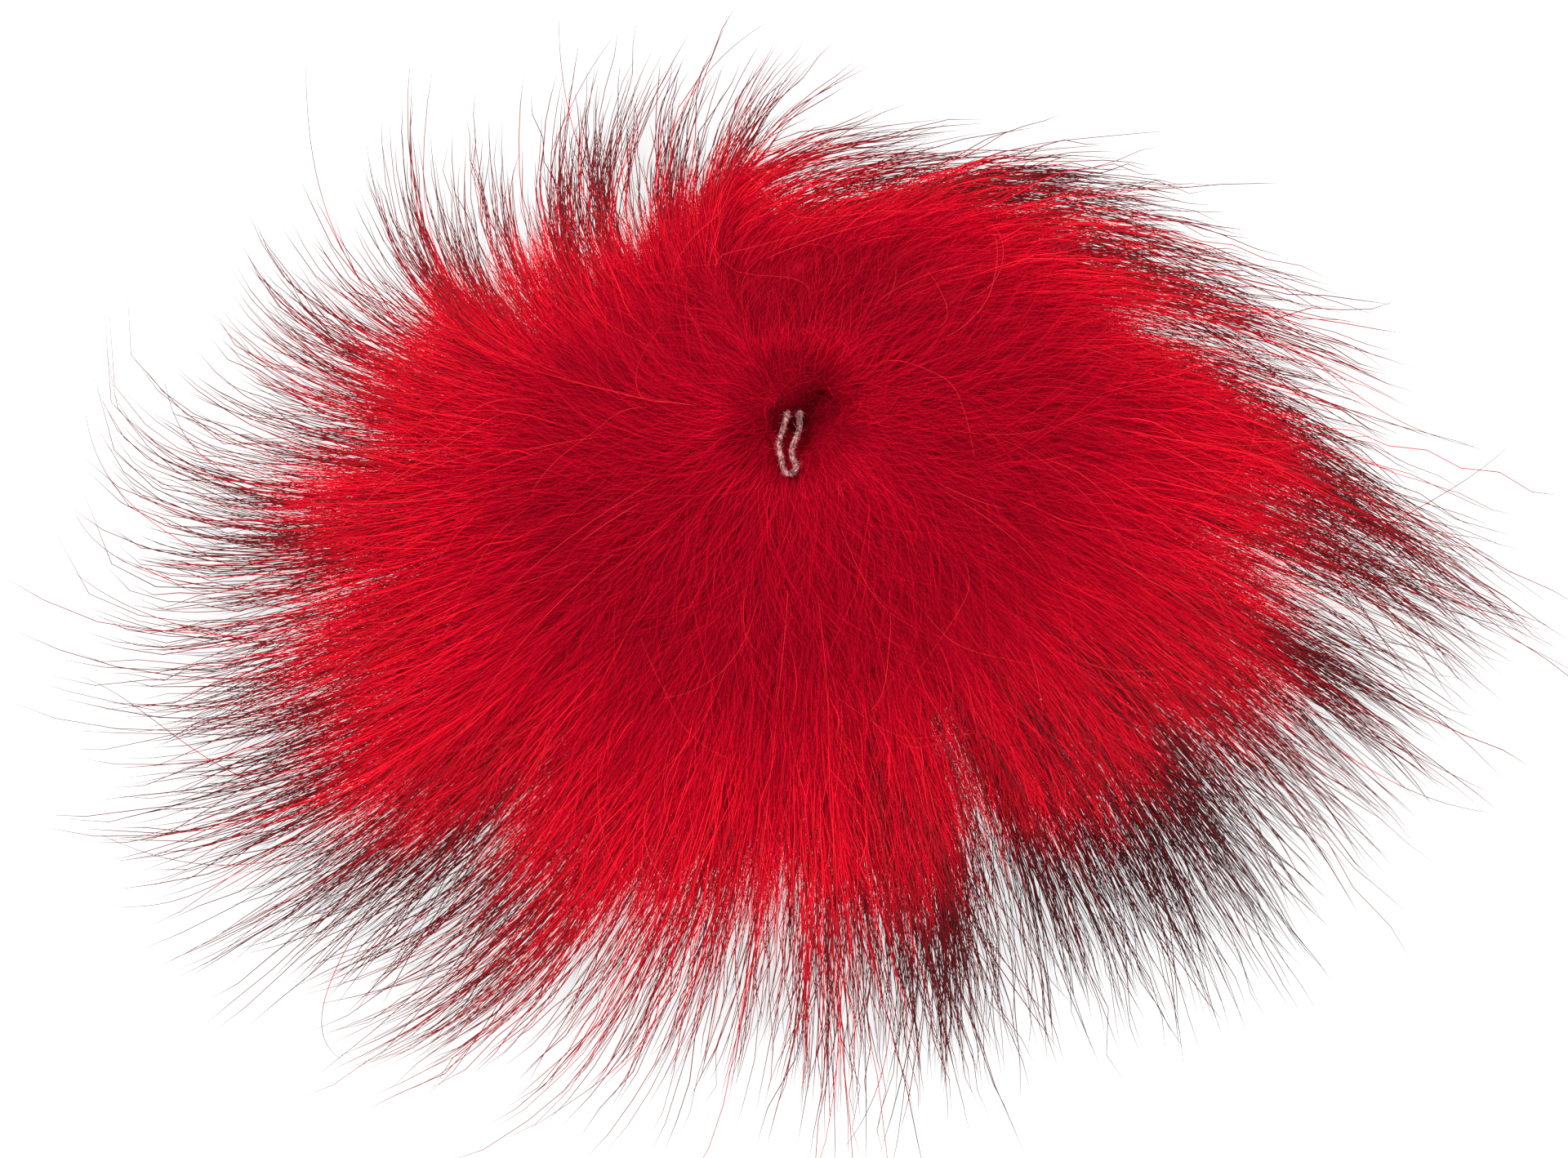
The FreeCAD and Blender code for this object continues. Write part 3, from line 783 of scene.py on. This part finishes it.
FLYAWAY_RADIUS = (0.019, 0.031)


def bent_lines(laid, rings):
    """Cubic curves through root, two bends and tip."""
    laid = np.array(laid, float)
    t = np.linspace(0.0, 1.0, rings)[None, :, None]
    root, first, second, tip = (laid[:, None, number] for number in range(4))
    return (root * (1 - t) ** 3 + first * 3 * t * (1 - t) ** 2
            + second * 3 * t * t * (1 - t) + tip * t ** 3)


def make_strays(material):
    """The longest hairs, which stand out past the rim."""
    lines = bent_lines(STRAYS, SINGLE_RINGS)
    count = len(lines)
    lines[..., :2] += random.normal(size=(count, 1, 2)) * 0.3
    radii = taper(SINGLE_RINGS, np.full(count, STRAY_RADIUS), 0.35)
    return strands("hair_strays", lines, radii, np.full(count, 0.95), material)


def make_flyaways(material):
    """The laid flyaways, and more of them at random over the fur, arching over its surface."""
    laid = list(bent_lines(FLYAWAYS, SINGLE_RINGS))
    for place in random.uniform(0.0, guide_count, RANDOM_FLYAWAYS):
        first = random.uniform(0.13, 0.55)
        last = first + random.uniform(0.08, 0.28)
        turn = random.normal() * 2.2
        share = np.linspace(first, last, SINGLE_RINGS)
        wander = place + turn * np.linspace(0.0, 1.0, SINGLE_RINGS) ** random.uniform(1.0, 2.5)
        plan = plan_point(wander, share)
        radius = np.linalg.norm(plan - MOUTH, axis=1)
        clear = np.where(radius < MOUTH_RIM, -BELOW_TOP, 0.5)
        height = surface_height(share, plan) + clear
        laid.append(np.column_stack([plan, height]))
    lines = np.array(laid)
    count = len(lines)
    radii = taper(SINGLE_RINGS, random.uniform(*FLYAWAY_RADIUS, count), 0.4)
    return strands("hair_flyaways", lines, radii, random.random(count), material)


MOUTH_WOOL = 3600
MOUTH_WOOL_RADIUS = (0.018, 0.034)
CROSSING = 0.08  # the share of that wool that lies across the hollow


def make_mouth_wool(material):
    """Short wool that grows outwards round the hollow, with some hairs across it."""
    angle = random.uniform(0.0, 2.0 * math.pi, MOUTH_WOOL)
    spread = random.uniform(-SLIT_HALF, SLIT_HALF, MOUTH_WOOL)[:, None] * SLIT
    outward = np.stack([np.cos(angle), np.sin(angle)], 1)
    out = 1.25 + 6.4 * random.random(MOUTH_WOOL) ** 1.1
    root = HOLLOW + spread + outward * out[:, None]
    away = root - from_slit(root)
    crossing = random.random(MOUTH_WOOL) < CROSSING
    heading = np.arctan2(away[:, 1], away[:, 0]) + np.where(crossing, math.pi, 0.0)
    heading += random.normal(size=MOUTH_WOOL) * np.interp(out, [1.3, 3.5], [0.30, 0.80])
    length = random.uniform(1.6, 5.0, MOUTH_WOOL)
    bow = random.normal(size=MOUTH_WOOL) * 0.7
    depth = random.random(MOUTH_WOOL) * 0.8 + 0.7 * (out / 7.4) ** 2
    lines = []
    for share in np.linspace(0.0, 1.0, WOOL_RINGS):
        way = heading + bow * share
        plan = root + np.stack([np.cos(way), np.sin(way)], 1) * (length * share)[:, None]
        radius = np.linalg.norm(plan - MOUTH, axis=1)
        top = HINGE_Z + np.maximum(radius - WELL_RADIUS, -1.2) * DIMPLE_SLOPE
        top = np.minimum(top, SURFACE_HEIGHT[0] - BELOW_TOP)
        height = top - 0.15 - depth - 0.9 * (1.0 - share) ** 2 - hollow_dip(plan)
        lines.append(np.column_stack([plan, height]))
    lines = np.stack(lines, axis=1)
    radii = taper(WOOL_RINGS, random.uniform(*MOUTH_WOOL_RADIUS, MOUTH_WOOL), 0.4)
    # Painted shade darkens the wool near the slit, and wool further out is painted lighter, as painted
    # light against the shade in the dimple round the mouth.
    near = np.linalg.norm(root - from_slit(root), axis=1)
    tones = random.beta(2.0, 2.8, MOUTH_WOOL) * np.interp(near, [1.2, 2.6], [0.15, 1.20])
    return strands("wool_mouth", lines, radii, np.clip(tones, 0.0, 1.0), material)


# ---- the matted wool under the hairs ----
AROUND = 540  # points in each ring of the mound
CORE_RINGS = 34
UNDER_HAIR = 2.2  # how far the mound stays below the fur's top
# Below its edge the mound draws in, like the ball it is: height and width as shares of the edge's.
UNDERSIDE = [(0.88, 0.99), (0.70, 0.95), (0.48, 0.87), (0.24, 0.76), (0.02, 0.64)]


def core_rings():
    """Rings of points from the foot of the well, over the mound and in under it."""
    place = np.linspace(0.0, guide_count, AROUND, endpoint=False)
    bend = between_guides(guide_bends, place) - MOUTH
    heading = bend / np.linalg.norm(bend, axis=1, keepdims=True)
    rings = []
    # A deep well that the yarn's legs turn in, drawn out towards the slit at its top.
    slitward = np.maximum(heading @ SLIT, 0.0)[:, None] * SLIT
    for radius, drawn_out, height in WELL:
        ring = MOUTH + heading * radius + slitward * drawn_out
        dip = hollow_dip(ring) * (height > WELL_BRIM)
        rings.append(np.column_stack([ring, np.full(AROUND, height) - dip]))
    for share in np.linspace(0.075, CORE_SHARE, CORE_RINGS):
        shares = np.full(AROUND, share) * (0.5 + 0.5 * reach_at(place))
        plan = plan_point(place, shares)
        lumps = (0.7 * np.sin(place * 3.1 + share * 40.0) + 0.5 * np.sin(place * 7.7 - share * 23.0)
                 + 0.5 * random.random(AROUND))
        height = surface_height(shares, plan) - UNDER_HAIR - lumps * min(1.0, share * 4.0)
        height = np.maximum(height - hollow_dip(plan), 1.5)
        rings.append(np.column_stack([plan, height]))
    edge = rings[-1]
    for drop, grow in UNDERSIDE:
        rings.append(drawn_in(edge, grow, 0.3 + edge[:, 2] * drop))
    rings.append(drawn_in(edge, 0.4, 0.6))
    return rings


def drawn_in(edge, grow, height):
    """A copy of a ring, drawn in towards the mouth's axis and put at another height."""
    ring = edge.copy()
    ring[:, :2] = MOUTH + (edge[:, :2] - MOUTH) * grow
    ring[:, 2] = height
    return ring


def make_core(material):
    """A closed mound under the hairs, with the well over the mouth."""
    rings = core_rings()
    grid = np.stack(rings)
    points = np.concatenate([grid.reshape(-1, 3), grid[:1].mean(1), grid[-1:].mean(1)])
    triangles = []
    places = []
    count = len(rings)
    step = np.arange(AROUND)
    after = (step + 1) % AROUND
    for ring in range(count - 1):
        a, b = ring * AROUND + step, ring * AROUND + after
        c, d = b + AROUND, a + AROUND
        u0, u1 = step / AROUND, (step + 1) / AROUND
        v0, v1 = np.full(AROUND, ring / count), np.full(AROUND, (ring + 1) / count)
        triangles += [np.stack([a, d, c], 1), np.stack([a, c, b], 1)]
        places += [np.stack([u0, v0, u0, v1, u1, v1], 1), np.stack([u0, v0, u1, v1, u1, v0], 1)]
    start, end = len(points) - 2, len(points) - 1
    last = (count - 1) * AROUND
    triangles.append(np.stack([step, after, np.full(AROUND, start)], 1))
    places.append(np.tile([0.0, 0.0, 0.01, 0.0, 0.005, 0.01], (AROUND, 1)))
    triangles.append(np.stack([last + after, last + step, np.full(AROUND, end)], 1))
    places.append(np.tile([0.0, 0.99, 0.01, 0.99, 0.005, 1.0], (AROUND, 1)))
    return mesh_object("underfur_mat", points, np.concatenate(triangles),
                       np.concatenate(places).reshape(-1, 2), material)


# ---- the yarn ----
def smooth_route(points):
    """Points of the smooth curve whose control points are the route, in millimetres."""
    curve = bpy.data.curves.new("yarn_route", "CURVE")
    curve.dimensions = "3D"
    curve.resolution_u = 10
    spline = curve.splines.new("NURBS")
    spline.points.add(len(points) - 1)
    for control, point in zip(spline.points, points):
        control.co = (*[value * MM for value in point], 1.0)
    spline.order_u = 3
    spline.use_endpoint_u = True
    holder = bpy.data.objects.new("yarn_route", curve)
    mesh = bpy.data.meshes.new_from_object(holder)
    line = np.array([vertex.co for vertex in mesh.vertices], float).reshape(-1, 3) / MM
    bpy.data.objects.remove(holder)
    bpy.data.curves.remove(curve)
    bpy.data.meshes.remove(mesh)
    return line


def carried_frame(line):
    """Directions along, beside and above a line, turning no more than the line does."""
    along = np.gradient(line, axis=0)
    along /= np.linalg.norm(along, axis=1, keepdims=True)
    side = np.cross(along[0], (0.3, 1.0, 0.2))
    side /= np.linalg.norm(side)
    sides = []
    for direction in along:
        side = side - side.dot(direction) * direction
        side /= np.linalg.norm(side)
        sides.append(side)
    sides = np.array(sides)
    return along, sides, np.cross(along, sides)


def make_yarn(line, material):
    """Plies twisted round the route, each a closed tube, in one mesh."""
    along, side, above = carried_frame(line)
    walked = np.concatenate([[0.0], np.cumsum(np.linalg.norm(np.diff(line, axis=0), axis=1))])
    turns = 2.0 * math.pi * walked / TWIST_PITCH
    points = []
    triangles = []
    rings = len(line)
    for ply in range(YARN_PLIES):
        phase = turns + 2.0 * math.pi * ply / YARN_PLIES
        wander = 1.0 + 0.10 * np.sin(walked * 5.3 + ply * 2.0)
        away = side * np.cos(phase)[:, None] + above * np.sin(phase)[:, None]
        centre = line + away * (YARN_DIAMETER / 2.0 - PLY_RADIUS) * wander[:, None]
        base = len(points)
        for ring in range(rings):
            thick = PLY_RADIUS * (1.0 + 0.12 * math.sin(walked[ring] * 3.1 + ply * 1.7))
            for corner in range(PLY_SIDES):
                angle = 2.0 * math.pi * corner / PLY_SIDES
                points.append(centre[ring] + (side[ring] * math.cos(angle)
                                              + above[ring] * math.sin(angle)) * thick)
        points.append(centre[0])
        points.append(centre[-1])
        for ring in range(rings - 1):
            for corner in range(PLY_SIDES):
                a = base + ring * PLY_SIDES + corner
                b = base + ring * PLY_SIDES + (corner + 1) % PLY_SIDES
                triangles.append((a, b, b + PLY_SIDES))
                triangles.append((a, b + PLY_SIDES, a + PLY_SIDES))
        first, last = len(points) - 2, len(points) - 1
        for corner in range(PLY_SIDES):
            after = (corner + 1) % PLY_SIDES
            triangles.append((base + after, base + corner, first))
            end = base + (rings - 1) * PLY_SIDES
            triangles.append((end + corner, end + after, last))
    return mesh_object("loop_yarn", np.array(points), np.array(triangles), None, material)


FUZZ_HAIRS = 1500
FUZZ_RINGS = 6
FUZZ_RADIUS = (0.013, 0.024)


def make_fuzz(line, material):
    """Fine loose fibres that stand off the yarn."""
    along, side, above = carried_frame(line)
    pick = random.integers(2, len(line) - 2, FUZZ_HAIRS)
    angle = random.uniform(0.0, 2.0 * math.pi, FUZZ_HAIRS)
    out = side[pick] * np.cos(angle)[:, None] + above[pick] * np.sin(angle)[:, None]
    length = (0.12 + 0.45 * random.random(FUZZ_HAIRS) ** 2)[:, None]
    drift = along[pick] * random.normal(size=(FUZZ_HAIRS, 1)) * 1.1
    curl = np.cross(along[pick], out) * random.normal(size=(FUZZ_HAIRS, 1)) * 1.2
    root = line[pick] + out * YARN_DIAMETER * 0.34
    lines = []
    for share in np.linspace(0.0, 1.0, FUZZ_RINGS):
        step = out * (share * (1.0 - 0.45 * share)) + drift * share * 0.6 + curl * share ** 2 * 0.6
        lines.append(root + step * length)
    lines = np.stack(lines, axis=1)
    radii = taper(FUZZ_RINGS, random.uniform(*FUZZ_RADIUS, FUZZ_HAIRS), 0.4)
    return strands("loop_yarn_fuzz", lines, radii, random.random(FUZZ_HAIRS), material)


# ---- the stuffing ----
POCKET_DEPTH = 9.5 * MM  # of the dip in its top, where the yarn's knot sits


def make_stuffing(material):
    """A lumpy ball of fibre that fills the pouch."""
    low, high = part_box("stuffing_ball")
    centre = (np.array(low) + np.array(high)) / 2.0
    radius = (high[0] - low[0]) / 2.0 * 0.97
    mesh = bpy.data.meshes.new("stuffing")
    piece = placed("stuffing", mesh)
    ball = bmesh.new()
    bmesh.ops.create_icosphere(ball, subdivisions=5, radius=1.0)
    for vertex in ball.verts:
        x, y, z = vertex.co
        lump = (math.sin(5.0 * x + 2.0 * y) * math.sin(4.0 * z - 3.0 * x)
                + 0.5 * math.sin(11.0 * y + 7.0 * z) * math.sin(9.0 * x))
        size = radius * (0.965 + 0.03 * lump)
        pocket = 0.0
        if z > 0.0:
            pocket = POCKET_DEPTH * math.exp(-((x * x + y * y) / 0.035) ** 2)
        vertex.co = Vector(centre) + vertex.co * size - Vector((0.0, 0.0, pocket))
    ball.to_mesh(mesh)
    ball.free()
    for polygon in mesh.polygons:
        polygon.use_smooth = True
    mesh.materials.append(material)
    return piece


# ---- camera, light and floor ----
VIEW_WIDTH = 192.0  # what the picture spans at the height of the fur's rim
RIM_HEIGHT = 8.0
VIEW_CENTRE = (-3.5, 1.0)
LENS = 170.0
SENSOR = 36.0
FLOOR_HALF = 4.0  # metres
FLOOR_GLOW = 0.70
SKY_LIGHT = 1.35


def make_camera():
    data = bpy.data.cameras.new("camera")
    data.lens = LENS
    data.sensor_width = SENSOR
    data.sensor_fit = "HORIZONTAL"
    data.clip_start = 0.01
    data.clip_end = 20.0
    camera = placed("camera", data)
    distance = VIEW_WIDTH / SENSOR * LENS + RIM_HEIGHT
    camera.location = (VIEW_CENTRE[0] * MM, VIEW_CENTRE[1] * MM, distance * MM)
    bpy.context.scene.camera = camera


def make_light(name, place, size, power, target):
    data = bpy.data.lights.new(name, "AREA")
    data.shape = "DISK"
    data.size = size
    data.energy = power
    lamp = placed(name, data)
    lamp.location = place
    lamp.rotation_mode = "QUATERNION"
    lamp.rotation_quaternion = (Vector(target) - Vector(place)).to_track_quat("-Z", "Y")


def make_floor():
    mesh = bpy.data.meshes.new("floor")
    corners = [(-1, -1), (1, -1), (1, 1), (-1, 1)]
    mesh.from_pydata([(x * FLOOR_HALF, y * FLOOR_HALF, 0) for x, y in corners], [], [(0, 1, 2, 3)])
    material, tree, shader = new_material("white_table", 0.7, 0.1)
    grain = noise(tree, object_place(tree), 60.0)
    white = ramp(tree, [(0.3, grey(0.20)), (0.7, grey(0.21))], grain)
    paint(tree, shader, white)
    shader.inputs["Emission Color"].default_value = (1.0, 1.0, 1.0, 1.0)
    shader.inputs["Emission Strength"].default_value = FLOOR_GLOW
    mesh.materials.append(material)
    placed("floor", mesh)


def make_surroundings():
    scene = bpy.context.scene
    scene.view_settings.view_transform = "Standard"
    world = bpy.data.worlds.new("studio")
    world.use_nodes = True
    background = world.node_tree.nodes["Background"]
    background.inputs["Color"].default_value = (1.0, 1.0, 1.0, 1.0)
    background.inputs["Strength"].default_value = SKY_LIGHT
    scene.world = world
    make_floor()
    make_light("key", (-0.35, 0.45, 0.9), 0.5, 11.0, (0.0, 0.0, 0.02))
    make_light("fill", (0.5, -0.35, 0.8), 0.7, 7.0, (0.0, 0.0, 0.02))


# ---- build ----
make_camera()
make_surroundings()

yarn = yarn_material()
yarn_line = smooth_route(LEFT_LEG[::-1] + BIGHT + RIGHT_LEG)
loop_yarn = make_yarn(yarn_line, yarn)
loop_fuzz = make_fuzz(yarn_line, fuzz_material())
for piece in (loop_yarn, loop_fuzz):
    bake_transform(piece)
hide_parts("loop_legs", "hanging_loop")

core = make_core(core_material())
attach(core, "pompom")
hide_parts("underfur")

guard_material = guard_hair_material()
wool = wool_material()
for lock, hair_range, wool_range in lock_ranges():
    for band in WOOL_BANDS:
        wool_piece = make_wool_lock(lock, *wool_range, *band, wool)
        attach(wool_piece, "pompom")
    hair_piece = make_guard_lock(lock, *hair_range, guard_material)
    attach(hair_piece, "pompom")
    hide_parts("guard_hair_" + lock)

for piece, slot in ((make_mouth_wool(wool), "underfur"), (make_strays(guard_material), "guard_hair"),
                    (make_flyaways(flyaway_material()), "guard_hair")):
    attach(piece, "pompom")

stuffing = make_stuffing(stuffing_material())
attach(stuffing, "pompom")
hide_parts("stuffing_ball")

thread = thread_material()
for node, material in (("hide_pouch", hide_material()), ("gathering_thread", thread),
                       ("gathering_knot", thread), ("loop_knot", yarn)):
    slots = frame["nodes"][node].data.materials
    slots.clear()
    slots.append(material)
